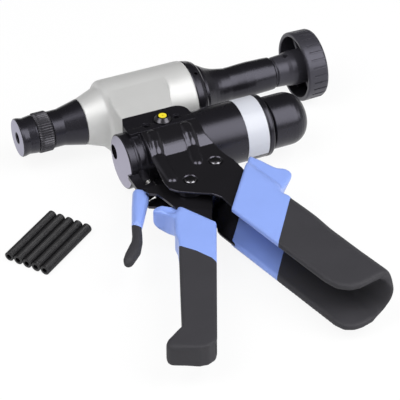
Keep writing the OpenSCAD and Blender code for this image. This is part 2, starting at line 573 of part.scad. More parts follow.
// rounded slab in three steps
module slab(p, h) {
  plate(p, -h*0.45, h*0.45);
  plate(inset(p, h*0.22), -h*0.8, h*0.8);
  plate(inset(p, h*0.55), -h, h);
}
module trigger_steel(h) {
  plate(concat([[44.9, -83]], arc(trig_o, 4.1, 170, 90, 4), [[52.8, -77.75], [56.6, -77.55],
      [57.1, -78.9], [54.6, -84]], arc(trig_o, 4.4, 310, 230, 4), [[45.2, -85.6]]), -h, h);
  plate(concat(inset(concat(trig_l, [[27.5, -116.2]], [[31.4, -117.4]], trig_r), 1.5)), -1.2, 1.2);
  plate([[29.2, -113], [29.4, -117.4], [25.6, -123], [19, -131], [20.4, -132], [24.2, -129], [28.6, -121.6],
    [31, -114.6]], -1.2, 1.2);
}
module trigger_slot() plate([[45.1, -70], [45.1, -86], [52.8, -86], [52.8, -70]], -1.4, 1.4);
module trigger() color("black") difference() {
  trigger_steel(trig_hz);
  trigger_slot();
  cz0(trig_o[0], trig_o[1], -8, 8, 1.54);
}
module trigger_cover() color("#8caaeb") difference() {
  slab(concat(trig_l, trig_r), 3.1);
  trigger_steel(trig_hz);
  trigger_slot();
}
module trigger_tip() color("#414143") difference() {
  slab(concat(tip_l, tip_r), 2.6);
  trigger_steel(trig_hz);
}
module trigger_pin() color("dimgray") cz0(trig_o[0], trig_o[1], 0.02 - trig_hz, trig_hz - 0.02, 1.48);

// loose mandrels, side by side on the surface the tool lies on
module mandrels() color("#26262a") for (i = [0:4])
  translate([-35.5, -81.3, floor_z + mandrel_d/2]) rotate([0, 0, 35.7]) translate([0,
      -i*(mandrel_d + 0.1), 0]) difference() {
    m = mandrel_d/2;
    rev([[0, 0], [0, m - 0.5], [0.5, m], [mandrel_len - 0.8, m], [mandrel_len, m - 0.8], [mandrel_len, 0]]);
    hexcut(-1, 4, mandrel_d/2);
  }

head_housing();
nosepiece();
lock_ring();
anvil();
end_cap();
rear_sleeve();
cylinder_seals();
piston();
piston_seal();
return_spring();
drive_shaft();
mandrel_adapter();
thrust_bearing();
handwheel();
wheel_screw();
pump_body();
relief_screw();
relief_spring();
relief_ball();
check_balls();
check_springs();
gallery_plugs();
bleed_plug();
plug_insert();
port_seals();
plunger();
plunger_seal();
plunger_spring();
release_pin();
release_spring();
release_ball();
reservoir_tube();
label();
float_piston();
float_seal();
end_boot();
rear_frame();
rear_cover();
rear_grip();
pivot_pin();
frame_pin();
front_frame();
front_cover();
front_grip();
cam_roller();
roller_pin();
trigger();
trigger_cover();
trigger_tip();
trigger_pin();
mandrels();
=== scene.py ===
# %% [markdown]
# # A hydraulic rivet nut tool, dressed for a picture
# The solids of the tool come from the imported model. Each one sits where it belongs and moves with its body.
# This file gives them light, a camera and finishes, and swaps some plain solids for pieces with finer
# shape: the ribbed lock ring, the threaded mandrels, the pressed frame, the cast head and the dipped
# handles.

# %% Load the frame
import bpy
import bmesh
import math
from mathutils import Vector, Matrix


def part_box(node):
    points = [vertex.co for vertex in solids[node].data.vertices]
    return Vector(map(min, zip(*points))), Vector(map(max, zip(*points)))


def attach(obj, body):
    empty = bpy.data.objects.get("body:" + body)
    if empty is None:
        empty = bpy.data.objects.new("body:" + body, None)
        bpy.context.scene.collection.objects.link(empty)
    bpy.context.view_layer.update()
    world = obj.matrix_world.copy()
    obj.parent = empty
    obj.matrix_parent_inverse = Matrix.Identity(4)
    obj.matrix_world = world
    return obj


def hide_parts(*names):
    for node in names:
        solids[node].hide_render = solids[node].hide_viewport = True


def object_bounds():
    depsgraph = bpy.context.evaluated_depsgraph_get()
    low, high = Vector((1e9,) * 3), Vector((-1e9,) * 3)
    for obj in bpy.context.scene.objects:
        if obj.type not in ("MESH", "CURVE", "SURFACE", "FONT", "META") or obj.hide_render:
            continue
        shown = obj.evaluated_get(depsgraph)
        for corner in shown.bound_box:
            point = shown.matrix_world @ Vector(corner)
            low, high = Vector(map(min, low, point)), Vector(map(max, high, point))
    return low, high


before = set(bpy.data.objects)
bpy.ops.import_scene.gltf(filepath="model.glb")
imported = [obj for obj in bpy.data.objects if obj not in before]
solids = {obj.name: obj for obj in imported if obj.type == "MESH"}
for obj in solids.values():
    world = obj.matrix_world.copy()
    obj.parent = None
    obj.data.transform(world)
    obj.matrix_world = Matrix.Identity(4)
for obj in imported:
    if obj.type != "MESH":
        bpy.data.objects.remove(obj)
cad_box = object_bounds()
scene = bpy.context.scene
MM = 0.001
print("loaded", len(solids), "solids, box", [round(c, 4) for corner in cad_box for c in corner])

# %% [markdown]
# ## The camera
# The photograph looks down on the tool from the handles' side, from far away with a long lens, so that
# round parts hardly grow towards the viewer. The head's axis is the frame's X direction. The camera is
# turned by a heading about the vertical, then tipped down. One known point of the tool, the joint of head
# and pump, then fixes its place: we go back from that point along the view, and aside by as much as the
# point stands off the middle of the picture.

# %% Camera from heading, tilt and one known point
HEADING, TILT = math.radians(24.3), math.radians(38.0)
FOCAL_PIXELS, PICTURE, SENSOR = 1809.0, 400.0, 36.0
ASIDE, LIFT, BACK = 10.77, -44.82, 1102.1
right = Vector((math.cos(HEADING), -math.sin(HEADING), 0))
level = Vector((math.sin(HEADING), math.cos(HEADING), 0))
ahead = level * math.cos(TILT) - Vector((0, 0, 1)) * math.sin(TILT)
above = right.cross(ahead)
anchor = Vector((95.66, -30.0, 0.0))
eye = (anchor + right * ASIDE + above * LIFT - ahead * BACK) * MM

camera_data = bpy.data.cameras.new("photo_camera")
camera_data.sensor_width = SENSOR
camera_data.lens = FOCAL_PIXELS / PICTURE * SENSOR
camera_data.clip_start, camera_data.clip_end = 0.05, 20.0
camera = bpy.data.objects.new("photo_camera", camera_data)
scene.collection.objects.link(camera)
turn = Matrix((right, above, -ahead)).transposed().to_4x4()
camera.matrix_world = Matrix.Translation(eye) @ turn
scene.camera = camera
scene.view_settings.view_transform = "Standard"
print("lens", round(camera_data.lens, 1), "mm, eye", [round(c, 3) for c in eye])

# %% [markdown]
# ## Pieces with finer shape than the solids
# Most solids are good as they are: turned and milled metal has plain faces. Four kinds of piece need more.
# The lock ring is ribbed, the mandrels are threaded, the pressed frame and the cast head have no sharp
# inner corner, and the handles are dipped in soft plastic, which runs round every edge. A turned piece is
# easiest to build as rings of points about its axis: one function takes a profile and a rule that says how
# far a point stands proud, so that the same code makes ribs and a thread.

# %% Helper: rings of points about an axis
def turned(name, profile, around, proud=None, closed=True):
    """A skin of rings. profile: (along, radius) in mm; proud(along, angle, radius) gives an offset in mm."""
    points, faces = [], []
    for x, r in profile:
        for k in range(around):
            a = 2 * math.pi * k / around
            rr = r + (proud(x, a, r) if proud else 0.0)
            points.append((x * MM, rr * math.cos(a) * MM, rr * math.sin(a) * MM))
    rows = len(profile)
    for i in range(rows if closed else rows - 1):
        j = (i + 1) % rows
        for k in range(around):
            m = (k + 1) % around
            faces.append((i * around + k, i * around + m, j * around + m, j * around + k))
    mesh = bpy.data.meshes.new(name)
    mesh.from_pydata(points, [], faces)
    mesh.update()
    return mesh


def face_outward(mesh, smooth_deg=35):
    """Welds doubled points, makes normals point outward and shades gentle corners smooth."""
    bm = bmesh.new()
    bm.from_mesh(mesh)
    bmesh.ops.remove_doubles(bm, verts=bm.verts, dist=1e-7)
    bmesh.ops.recalc_face_normals(bm, faces=bm.faces)
    bm.to_mesh(mesh)
    bm.free()
    mesh.polygons.foreach_set("use_smooth", [True] * len(mesh.polygons))
    mesh.set_sharp_from_angle(angle=math.radians(smooth_deg))
    return mesh


print("turning helpers ready")

# %% [markdown]
# ## The ribbed lock ring
# The ring is turned by hand, so its rim has straight ribs along the axis. They could be a bump in the
# finish, but the ring's edge is seen against the light, where only real height shows. Each point of the rim
# sinks by how near it is to the middle of a groove, and the grooves end short of the ring's shoulders.

# %% Ribbed lock ring
RIBS, RIB_DEPTH, CREST = 48, 0.55, 0.35
# in mm: the bore, how far the shoulders fall away, and the band at the rim that is ribbed
RING_BORE, CHAMFER, EASE, RIM, SHOULDER = 10.27, 1.1, 0.35, 0.7, 0.3
ring_low, ring_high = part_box("lock_ring")
ring_radius = ring_high[1] / MM
start_x, end_x = ring_low[0] / MM, ring_high[0] / MM


def rib(x, angle, radius):
    """Depth below the crest of a straight rib, in mm, on the rim only."""
    if radius < ring_radius - RIM or not start_x + SHOULDER < x < end_x - SHOULDER:
        return 0.0
    groove = abs((angle * RIBS / (2 * math.pi)) % 1.0 - 0.5) * 2
    return -RIB_DEPTH * max(0.0, groove * (1 + CREST) - CREST)


ring_profile = [(start_x, RING_BORE), (start_x, ring_radius - CHAMFER), (start_x + 0.6, ring_radius - EASE)]
ring_profile += [(start_x + t, ring_radius) for t in (1.1, 3.0, 5.0, 7.0, 8.3)]
ring_profile += [(end_x - 0.5, ring_radius - EASE), (end_x, ring_radius - CHAMFER), (end_x, RING_BORE)]
ring_mesh = face_outward(turned("ribbed_ring", ring_profile, RIBS * 8, rib), smooth_deg=40)
print("ribbed ring,", len(ring_mesh.polygons), "faces")

# %% [markdown]
# ## The loose mandrels
# These are set screws, M6 by 45 mm, threaded from end to end, with a hexagon socket. A thread is a helix: a
# point sinks by how far it is from the crest, and the crest moves along the rod by one pitch for each turn.
# At both ends the thread fades into a chamfer.

# %% One threaded rod
PITCH, ROD_R, ROD_LEN = 1.0, 3.0, 45.0
THREAD_DEPTH, FLANK, FADE, CORE_BAND = 0.55, 2.5, 0.9, 0.9
SOCKET, SOCKET_DEPTH, NEAR_CHAMFER, FAR_CHAMFER = 3.0, 4.0, 0.5, 0.7
STEPS_A_TURN, AROUND = 6, 24


def thread(x, angle, radius):
    """Depth of an M6 thread below its crest, in mm."""
    if radius < ROD_R - CORE_BAND or x <= 0.0 or x >= ROD_LEN:
        return 0.0
    phase = (x / PITCH + angle / (2 * math.pi)) % 1.0
    wave = min(1.0, abs(phase - 0.5) * FLANK)
    fade = min(1.0, x / FADE, (ROD_LEN - x) / FADE)
    return -THREAD_DEPTH * wave * fade


def hex_radius(angle, across):
    """Distance from the middle to the side of a hexagon."""
    return across / 2 / math.cos((angle % (math.pi / 3)) - math.pi / 6)


def rod_surface(x, angle, radius):
    """The thread, or the hexagon where the profile marks the socket with a radius of -1."""
    return hex_radius(angle, SOCKET) + 1.0 if radius < 0 else thread(x, angle, radius)


def threaded_rod():
    """One rod along X with a closed skin: socket floor, socket wall, end face, thread, far end."""
    steps = int(ROD_LEN / PITCH * STEPS_A_TURN)
    body = [(ROD_LEN * i / steps, ROD_R) for i in range(steps + 1)]
    body[0], body[-1] = (0.0, ROD_R - NEAR_CHAMFER), (ROD_LEN, ROD_R - FAR_CHAMFER)
    rings = [(SOCKET_DEPTH, 0.01), (SOCKET_DEPTH, -1.0), (0.0, -1.0)] + body + [(ROD_LEN, 0.01)]
    return turned("rod", rings, AROUND, rod_surface, closed=False)


rod_mesh = threaded_rod()
print("rod,", len(rod_mesh.polygons), "faces")

# %% Five rods side by side
RODS, ROD_STEP, ROD_TURN = 5, 6.1, math.radians(35.7)
ROD_ROLL = 0.7  # each rod is rolled this much further than the last, in radians
FIRST_ROD = Vector((-35.5, -81.3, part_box("mandrels")[0][2] / MM + ROD_R))
bm = bmesh.new()
for i in range(RODS):
    part = rod_mesh.copy()
    part.transform(Matrix.Translation(FIRST_ROD * MM) @ Matrix.Rotation(ROD_TURN, 4, "Z")
                   @ Matrix.Translation((0, -i * ROD_STEP * MM, 0)) @ Matrix.Rotation(ROD_ROLL * i, 4, "X"))
    bm.from_mesh(part)
rods_mesh = bpy.data.meshes.new("threaded_mandrels")
bm.to_mesh(rods_mesh)
bm.free()
face_outward(rods_mesh, smooth_deg=50)
print("mandrels,", len(rods_mesh.polygons), "faces")

# %% [markdown]
# ## Skins for pressed, cast and dipped pieces
# The handles are pressed steel, dipped in two colours of soft plastic. On such a skin no corner is sharp,
# and the horns that keep the hand from slipping flow into the shank. Rounding the solids' edges one by one
# would be long work. Instead solids are united and cut, their skin is rebuilt as an even net of small
# quads, and the net is relaxed, as a sculptor smooths clay. Where the real one is softest, it is relaxed
# more. Last the skin is cut along the line where the colours meet.

# %% Helpers: simple solids to join and to cut with
def lofted(name, rows):
    """A closed solid through rows of points, in mm; each row is a loop of as many points."""
    n = len(rows[0])
    points = [tuple(c * MM for c in p) for row in rows for p in row]
    faces = [tuple(range(n)), tuple(range(len(points) - n, len(points)))]
    for r in range(len(rows) - 1):
        here, there = r * n, (r + 1) * n
        faces += [(here + i, here + (i + 1) % n, there + (i + 1) % n, there + i) for i in range(n)]
    mesh = bpy.data.meshes.new(name)
    mesh.from_pydata(points, [], faces)
    return face_outward(mesh)


def prism(name, outline, low, high):
    """An upright solid over an outline of (x, y) points, between two heights, in mm."""
    return lofted(name, [[(x, y, z) for x, y in outline] for z in (low, high)])


def round_rod(start, end, radius):
    """A rod with round ends between two points, in mm."""
    a, b = Vector(start), Vector(end)
    turns = [math.pi / 2 * i / 6 for i in range(7)]
    profile = [(-radius * math.cos(t), radius * math.sin(t) + 1e-5) for t in turns]
    profile += [((b - a).length + radius * math.sin(t), radius * math.cos(t) + 1e-5) for t in turns]
    mesh = turned("rod_piece", profile, 24, closed=False)
    aim = Vector((1, 0, 0)).rotation_difference(b - a).to_matrix().to_4x4()
    mesh.transform(Matrix.Translation(a * MM) @ aim)
    return face_outward(mesh)


print("solid helpers ready")

# %% Helpers: carve with solids
def settled(obj):
    """The object's mesh with its modifiers applied."""
    graph = bpy.context.evaluated_depsgraph_get()
    graph.update()
    return bpy.data.meshes.new_from_object(obj.evaluated_get(graph))


def carved(name, start, *steps):
    """The start mesh after steps of ("UNION", "DIFFERENCE" or "INTERSECT", mesh)."""
    work = bpy.data.objects.new(name, start.copy())
    scene.collection.objects.link(work)
    tools = []
    for operation, mesh in steps:
        tool = bpy.data.objects.new("tool", mesh)
        scene.collection.objects.link(tool)
        cut = work.modifiers.new(operation, "BOOLEAN")
        cut.operation, cut.solver, cut.object = operation, "EXACT", tool
        tools.append(tool)
    mesh = settled(work)
    for obj in tools + [work]:
        bpy.data.objects.remove(obj)
    return mesh


print("carving helpers ready")

# %% Helpers: rebuild, relax and pull a skin
def relaxed(name, mesh, voxel_mm, passes, soft_spots=(), soft_passes=0, swell_mm=0.0):
    """Rebuilds a skin in even quads, relaxes it, more so near the soft spots, and pushes it out."""
    work = bpy.data.objects.new(name, mesh)
    scene.collection.objects.link(work)
    net = work.modifiers.new("net", "REMESH")
    net.mode, net.voxel_size = "VOXEL", voxel_mm * MM
    net_mesh = settled(work)
    work.modifiers.clear()
    work.data = net_mesh
    group = work.vertex_groups.new(name="soft")
    for v in net_mesh.vertices:
        weight = 0.0
        for centre, reach_mm in soft_spots:
            d = (v.co / MM - Vector(centre)).length / reach_mm
            weight = max(weight, min(1.0, max(0.0, 2.0 * (1.0 - d))))
        if weight > 0:
            group.add([v.index], weight, "REPLACE")
    if passes:
        even = work.modifiers.new("relax", "SMOOTH")
        even.factor, even.iterations = 0.5, passes
    if soft_spots:
        softer = work.modifiers.new("relax_soft", "SMOOTH")
        softer.factor, softer.iterations, softer.vertex_group = 0.5, soft_passes, "soft"
    if swell_mm:
        swell = work.modifiers.new("swell", "DISPLACE")
        swell.strength, swell.mid_level = swell_mm * MM, 0.0
    skin = settled(work)
    bpy.data.objects.remove(work)
    skin.polygons.foreach_set("use_smooth", [True] * len(skin.polygons))
    return skin


def pulled(mesh, *pulls):
    """Moves a skin's points as a grab brush would. A pull is a centre, a reach and an offset, all in mm."""
    for v in mesh.vertices:
        shift = Vector()
        for centre, reach_mm, offset in pulls:
            d = (v.co / MM - Vector(centre)).length / reach_mm
            if d < 1.0:
                shift += Vector(offset) * (1.0 - d * d) ** 2
        v.co += shift * MM
    return mesh


print("skin helpers ready")

# %% Helper: cut a skin where its colours meet
def cut_skin(skin, line, keep_below, name):
    """Keeps the part of a skin on one side of an upright cut through a line of (x, y) points in mm."""
    bm = bmesh.new()
    bm.from_mesh(skin)
    for (ax, ay), (bx, by) in zip(line, line[1:]):
        across = Vector((-(by - ay), bx - ax, 0)).normalized()
        bmesh.ops.bisect_plane(bm, geom=bm.verts[:] + bm.edges[:] + bm.faces[:], dist=1e-6,
                               plane_co=(ax * MM, ay * MM, 0), plane_no=across)

    def side(point):
        """Positive on the left of the nearest stretch of the line."""
        best, sign = 1e9, 1.0
        for (ax, ay), (bx, by) in zip(line, line[1:]):
            a, d = Vector((ax, ay)) * MM, Vector((bx - ax, by - ay)) * MM
            p = Vector((point.x, point.y)) - a
            t = min(1.0, max(0.0, p.dot(d) / d.length_squared))
            gap = (p - d * t).length
            if gap < best - 1e-9:
                best, sign = gap, d.x * p.y - d.y * p.x
        return sign

    drop = [f for f in bm.faces if (side(f.calc_center_median()) > 0) == keep_below]
    bmesh.ops.delete(bm, geom=drop, context="FACES")
    mesh = bpy.data.meshes.new(name)
    bm.to_mesh(mesh)
    bm.free()
    mesh.polygons.foreach_set("use_smooth", [True] * len(mesh.polygons))
    return mesh


print("cutting helper ready")

# %% [markdown]
# ## Each handle's own axes
# The handles stand askew in the frame. Their shapes are far easier to give in axes of their own, with x
# across the handle and y along it, and a turn then brings the points to where the handle is.

# %% Helpers: points in a handle's own axes
REAR, REAR_TURN = Vector((91.9, -84.0)), math.radians(14.5)
FRONT, FRONT_TURN = Vector((72.0, -95.1)), math.radians(-24.5)


def along_handle(origin, turn, *points):
    """Points given in a handle's own axes, in the frame, in mm."""
    c, w = math.cos(turn), math.sin(turn)
    return [(origin.x + x * c - y * w, origin.y + x * w + y * c) for x, y in points]


def on_rear(*points):
    return along_handle(REAR, REAR_TURN, *points)


def on_front(*points):
    return along_handle(FRONT, FRONT_TURN, *points)


def spots(handle, *places):
    """Soft spots: (x, y, z, reach) in a handle's own axes."""
    return [((*handle((x, y))[0], z), reach) for x, y, z, reach in places]


print("handle axes ready")

# %% [markdown]
# ## The rear handle
# It is a deep channel, open towards the front handle and at its end, and dipped all over, so that the
# inside has the colours of the outside. We unite the cover, the grip and the steel between them, fill the
# hollow, and cut a new one with rounded corners, which runs out through the end. The upper wall is trimmed
# a little shorter than the lower one.

# %% Rear handle's solid
OPEN_SIDE = -34.0  # well outside the handle, so that the hollow runs out through its open side


def hollow_row(y, floor_x, half=10.3, corner=5.5):
    """One section across the channel's hollow: open on the left, rounded on the right."""
    arc = [math.pi / 2 * i / 6 for i in range(7)]
    middle_x, middle_z = floor_x - corner, half - corner
    floor_side = [(middle_x + corner * math.sin(t), middle_z + corner * math.cos(t)) for t in arc]
    row = [(OPEN_SIDE, half)] + floor_side
    row += [(x, -z) for x, z in reversed(row)]
    return [(*on_rear((x, y))[0], z) for x, z in row]


rear_steel = carved("rear_steel", solids["rear_frame"].data, ("INTERSECT", prism(
    "below_top_line", on_rear((-30, -49.6), (-30, -160), (40, -160), (40, 7.7)), -20, 20)))
rear_filling = prism("rear_filling", on_rear(
    (-20, -44), (-20, -130), (-18, -135.6), (-12, -139), (4, -139), (9.9, -136.7), (12.7, -130), (11.5, -116),
    (11.7, -105), (13.4, -90), (13.2, -72), (10.5, -56), (8.9, -46), (8.3, -20), (5, -21.5)), -10.9, 10.9)
rear_hollow = lofted("rear_hollow", [hollow_row(y, x) for y, x in (
    (0, 4.6), (-46, 5.2), (-58, 6.6), (-70, 8.4), (-90, 9.4), (-105, 7.9), (-117, 7.7), (-130, 9.0),
    (-152, 11.0))])
top_trim = prism("top_trim", on_rear(
    (-30, -120), (-30, -160), (14, -160), (12, -136.5), (2, -137), (-10, -136.4), (-15.5, -134),
    (-19.5, -129), (-21.6, -120)), 5, 20)
rear_solid = carved("rear_solid", solids["rear_cover"].data, ("UNION", solids["rear_grip"].data.copy()),
                    ("UNION", rear_steel), ("UNION", rear_filling), ("DIFFERENCE", rear_hollow),
                    ("DIFFERENCE", top_trim))
print("rear solid,", len(rear_solid.polygons), "faces")

# %% [markdown]
# ## The rear handle's soft shape
# Relaxing rounds the corners, but the dipped handle is also shaped: it has a waist, its floor leans inward
# towards the end, the horn thins downward and the end bulges. Each is a shift of the skin's points, which
# grows smoothly along the handle and with depth, so that no step shows where it starts.

# %% Rear handle's skin
WAIST, BELLY, END_LEAN = 2.2, 1.3, 7.5  # inward shifts in mm; the belly gives back part of the waist
HORN_THIN = 0.85  # the share by which the horn's foot draws back
END_BULGE = (2.4, 3.4)  # across and down the handle, in mm
ACROSS = Vector((math.cos(REAR_TURN), math.sin(REAR_TURN), 0))
DOWN_HANDLE = Vector((math.sin(REAR_TURN), -math.cos(REAR_TURN), 0))


def limited(t):
    """The number, kept between 0 and 1."""
    return min(1.0, max(0.0, t))


def past(value, start, over):
    """Grows from 0 to 1, without corners, as a value passes a start, over so many mm."""
    t = limited((value - start) / over)
    return t * t * (3 - 2 * t)


rear_spots = spots(on_rear, (-4, -143, 0, 26), (31, -31, 0, 20))
rear_skin = relaxed("rear_skin", rear_solid, voxel_mm=0.7, passes=9, soft_spots=rear_spots, soft_passes=22,
                    swell_mm=0.4)
pulled(rear_skin, *[((*on_rear((x, y))[0], z), reach_mm, ACROSS * shift) for x, y, z, reach_mm, shift in (
    (31, -30, 11, 9, -1.5), (21, -24, 0, 9, -1.5))])
for v in rear_skin.vertices:
    p = v.co / MM - Vector((REAR.x, REAR.y, 0))
    x, y, z = p.dot(ACROSS), p.y * math.cos(REAR_TURN) - p.x * math.sin(REAR_TURN), p.z
    depth = limited((11 - z) / 22)
    waist = WAIST * past(-y, 38, 12) - BELLY * past(-y, 44, 10) * past(y, -92, 20)
    lean = END_LEAN * depth * depth * past(-y, 112, 26)
    thin = HORN_THIN * max(0.0, x - 14) * past(y, -48, 8) * limited((10 - z) / 15)
    v.co -= ACROSS * MM * ((waist + lean) * past(x, -8, 16) + thin)
    bulge = max(0.0, 1 - ((z + 1) / 12) ** 2) * past(-y, 124, 14) * past(x, -2, 12)
    v.co += (ACROSS * END_BULGE[0] + DOWN_HANDLE * END_BULGE[1]) * bulge * MM
rear_line = on_rear((-33.5, -92.6), (24.8, -44.0))
print("rear skin,", len(rear_skin.polygons), "faces")

# %% [markdown]
# ## The front handle
# It has the same build but is slimmer, and its horn is a full, round thumb. The horn's solid is flat below,
# so its skin is pulled down towards the shank, and its top is pressed in a little.

# %% Front handle's skin
front_steel = carved("front_steel", solids["front_frame"].data, ("INTERSECT", prism(
    "below_front_line", on_front((-8.1, -18.9), (-6.3, -17.7), (14.4, -32.3), (30, -43.3), (30, -160),
                                 (-30, -160), (-30, -60), (-8.1, -42)), -20, 20)))
front_solid = carved("front_solid", solids["front_cover"].data, ("UNION", solids["front_grip"].data.copy()),
                     ("UNION", front_steel))
front_spots = spots(on_front, (-20, -19, 0, 15), (-8, -137, 0, 15))
front_skin = relaxed("front_skin", front_solid, voxel_mm=0.6, passes=7, soft_spots=front_spots,
                     soft_passes=45, swell_mm=0.3)
pulled(front_skin, *[((*on_front((x, y))[0], z), reach_mm, (0, 0, dz)) for x, y, z, reach_mm, dz in (
    (-11, -19, 6.5, 7, -2.6), (-21, -19, 6.5, 6, -1.2), (-12, -21, -8, 11, -4.2), (-22, -19, -7, 5, 1.2))])
front_line = on_front((-14, -50), (-5.6, -53.8), (3.7, -58.1), (12.1, -64.1), (14.7, -67.4), (20, -74))
print("front skin,", len(front_skin.polygons), "faces")

# %% [markdown]
# ## The release trigger
# Its cover is moulded round a steel blade, with a thin neck and full, round ends. Swelling a relaxed skin
# gives just that: what relaxing took from the ends comes back, and stays round.

# %% Trigger's skin
trigger_core = carved("trigger_core", solids["trigger"].data, ("INTERSECT", prism(
    "below_fork", [(0, -150), (60, -150), (60, -88), (0, -88)], -10, 10)))
trigger_solid = carved("trigger_solid", solids["trigger_cover"].data,
                       ("UNION", solids["trigger_tip"].data.copy()), ("UNION", trigger_core))
trigger_skin = relaxed("trigger_skin", trigger_solid, voxel_mm=0.4, passes=8, swell_mm=0.75)
trigger_line = [(24.0, -102.9), (40.0, -117.4)]
print("trigger skin,", len(trigger_skin.polygons), "faces")

# %% [markdown]
# ## Two colours on each skin
# Each handle and the trigger is dipped or moulded in blue and grey, and the colours meet on a clean line.
# The skin is cut there, so that each colour is a piece of its own, with its own finish, and no seam shows
# between them.

# %% Cut the skins where their colours meet
skins = {}
for cover, grip, skin, line in (("rear_cover", "rear_grip", rear_skin, rear_line),
                                ("front_cover", "front_grip", front_skin, front_line),
                                ("trigger_cover", "trigger_tip", trigger_skin, trigger_line)):
    skins[cover] = cut_skin(skin, line, False, cover + "_skin")
    skins[grip] = cut_skin(skin, line, True, grip + "_skin")
print({k: len(m.polygons) for k, m in skins.items()})

# %% [markdown]
# ## The pressed frame
# One sheet of steel wraps the pump's barrel, leaves it on a tangent, and is folded flat into the two
# cheeks. We first say where its outside runs, as points (y, z): one curve for the sheet as the solid has
# it, whose inside must stay clear of the barrel, and one for the fuller, rounder shoulder that the
# photograph shows.

# %% Helpers: the sheet's section
PUMP_Y, WRAP_R, CHEEK_Z, SLOPE = -48.2, 19.3, 12.2, math.radians(22.79)
SHOULDER_R, SHOULDER_Y, FOLD_TURN = 23.9, -52.0, 45.3


def mirrored(side):
    """A loop from one side's (y, z) points and the same below."""
    return side + [(y, -z) for y, z in reversed(side)]


def under_sheet(depth, first, last):
    """What lies under the sheet at some depth below its outside, from x = first to last."""
    r, z = WRAP_R - depth, CHEEK_Z - depth
    fold = PUMP_Y - (r - z * math.cos(SLOPE)) / math.sin(SLOPE)
    side = [(PUMP_Y + 8, r * 0.9), (PUMP_Y, r)]
    side += [(PUMP_Y - r * math.sin(SLOPE * i / 4), r * math.cos(SLOPE * i / 4)) for i in range(1, 5)]
    side += [(fold, z), (-104.0, z)]
    return lofted("under_sheet", [[(x, y, z) for y, z in mirrored(side)] for x in (first, last)])


def on_shoulder(degrees, drop=0.0):
    """A point (y, z) of the curved shoulder, some way below its surface."""
    t, r = math.radians(degrees), SHOULDER_R - drop
    return SHOULDER_Y - r * math.sin(t), WRAP_R - SHOULDER_R + r * math.cos(t)


inside = under_sheet(0.9, 40.0, 110.0)
print("sheet's section ready")

# %% [markdown]
# ## The frame's shoulder and beads
# Two beads on each side stiffen the fold. A press can't make a sharp line in a bead, so broad round rods
# are joined to the sheet, on its outside only, and the whole skin is relaxed a little.

# %% Frame's skin
BEAD_R, BEAD_DROP, BEAD_START = 4.9, 3.2, 6
BEADS = ((66.0, 63.6, 62.6, -90.2), (87.2, 85.9, 82.8, -80.8))  # x on top, x at the fold, x and y of the end
shoulder_line = mirrored([on_shoulder(FOLD_TURN * i / 10) for i in range(11)])
shoulder = lofted("shoulder", [[(x, y, z) for y, z in shoulder_line] for x in (50.0, 105.0)])
shoulder_plan = prism("shoulder_plan", [
    (60.0, -49.7), (59.4, -69.1), (99.3, -69.1), (96.0, -62.5), (96.0, -49.7)], -25, 25)
shoulder = carved("shoulder", shoulder, ("INTERSECT", shoulder_plan), ("DIFFERENCE", inside))
lower_corner = prism("lower_corner", on_rear(
    (-15, -22), (-19, -26.5), (-21.6, -30), (-22.3, -34), (-22.3, -46), (-16, -46)), -12.2, -10.6)
frame_above = carved("frame_above", solids["rear_frame"].data, ("INTERSECT", prism(
    "above_top_line", on_rear((-70, -85.5), (60, 20.8), (60, 100), (-70, 100)), -25, 25)))
steps = [("UNION", shoulder), ("UNION", lower_corner)]
for top_x, fold_x, last_x, last_y in BEADS:
    turns = [BEAD_START + (FOLD_TURN - BEAD_START) * i / 3 for i in range(4)]
    path = [(top_x + (fold_x - top_x) * i / 3, *on_shoulder(t, BEAD_DROP)) for i, t in enumerate(turns)]
    path.append((last_x, last_y, CHEEK_Z - BEAD_DROP))
    for s in (1, -1):
        for p, q in zip(path, path[1:]):
            rod = round_rod((p[0], p[1], s * p[2]), (q[0], q[1], s * q[2]), BEAD_R)
            steps.append(("UNION", carved("bead", rod, ("DIFFERENCE", inside.copy()))))
frame_solid = carved("frame_solid", frame_above, *steps)
frame_skin = relaxed("frame_skin", frame_solid, voxel_mm=0.45, passes=4)
print("frame skin,", len(frame_skin.polygons), "faces")

# %% [markdown]
# ## The cast head
# The barrel of the head and the block that stands on the pump are one casting. Its outside is all fillets,
# and the widest is in front, where the block grows out of the barrel's shoulder. Only there is the skin
# relaxed strongly.

# %% Head's skin
head_spots = [((x, y, s * z), r) for s in (1, -1) for x, y, z, r in (
    (54.5, -24, 13, 11), (55.5, -15, 17, 12), (57, -5, 20, 10), (93, -22, 14, 6), (94, -12, 18, 6))]
head_skin = relaxed("head_skin", solids["head_housing"].data.copy(), voxel_mm=0.6, passes=2,
                    soft_spots=head_spots, soft_passes=26)
print("head skin,", len(head_skin.polygons), "faces")

# %% [markdown]
# ## Node trees without clutter
# Every finish below is a small node tree. A few helpers keep them readable: they place a node, join
# sockets, do sums and blend two values. A group is a tree of its own with named inputs and outputs, used by
# several finishes.

# %% Helpers: nodes and links
def place(tree, kind, **settings):
    """Adds a node, sets its properties, and returns it."""
    node = tree.nodes.new(kind)
    for key, value in settings.items():
        setattr(node, key, value)
    return node


def join(tree, source, target):
    """Links an output socket to an input socket."""
    tree.links.new(source, target)


def feed(tree, value, socket):
    """Links a socket, or sets a plain number or colour."""
    if hasattr(value, "is_output"):
        join(tree, value, socket)
    else:
        socket.default_value = value


print("node helpers ready")

# %% Helpers: groups, sums and blends
FLOAT, VECTOR = "NodeSocketFloat", "NodeSocketVector"


def new_group(name, inputs, outputs):
    """A shader node group. inputs: name, socket type, default. outputs: name, socket type."""
    group = bpy.data.node_groups.new(name, "ShaderNodeTree")
    for title, kind, default in inputs:
        group.interface.new_socket(name=title, in_out="INPUT", socket_type=kind).default_value = default
    for title, kind in outputs:
        group.interface.new_socket(name=title, in_out="OUTPUT", socket_type=kind)
    start = place(group, "NodeGroupInput", location=(-900, 0))
    end = place(group, "NodeGroupOutput", location=(700, 0))
    return group, start, end


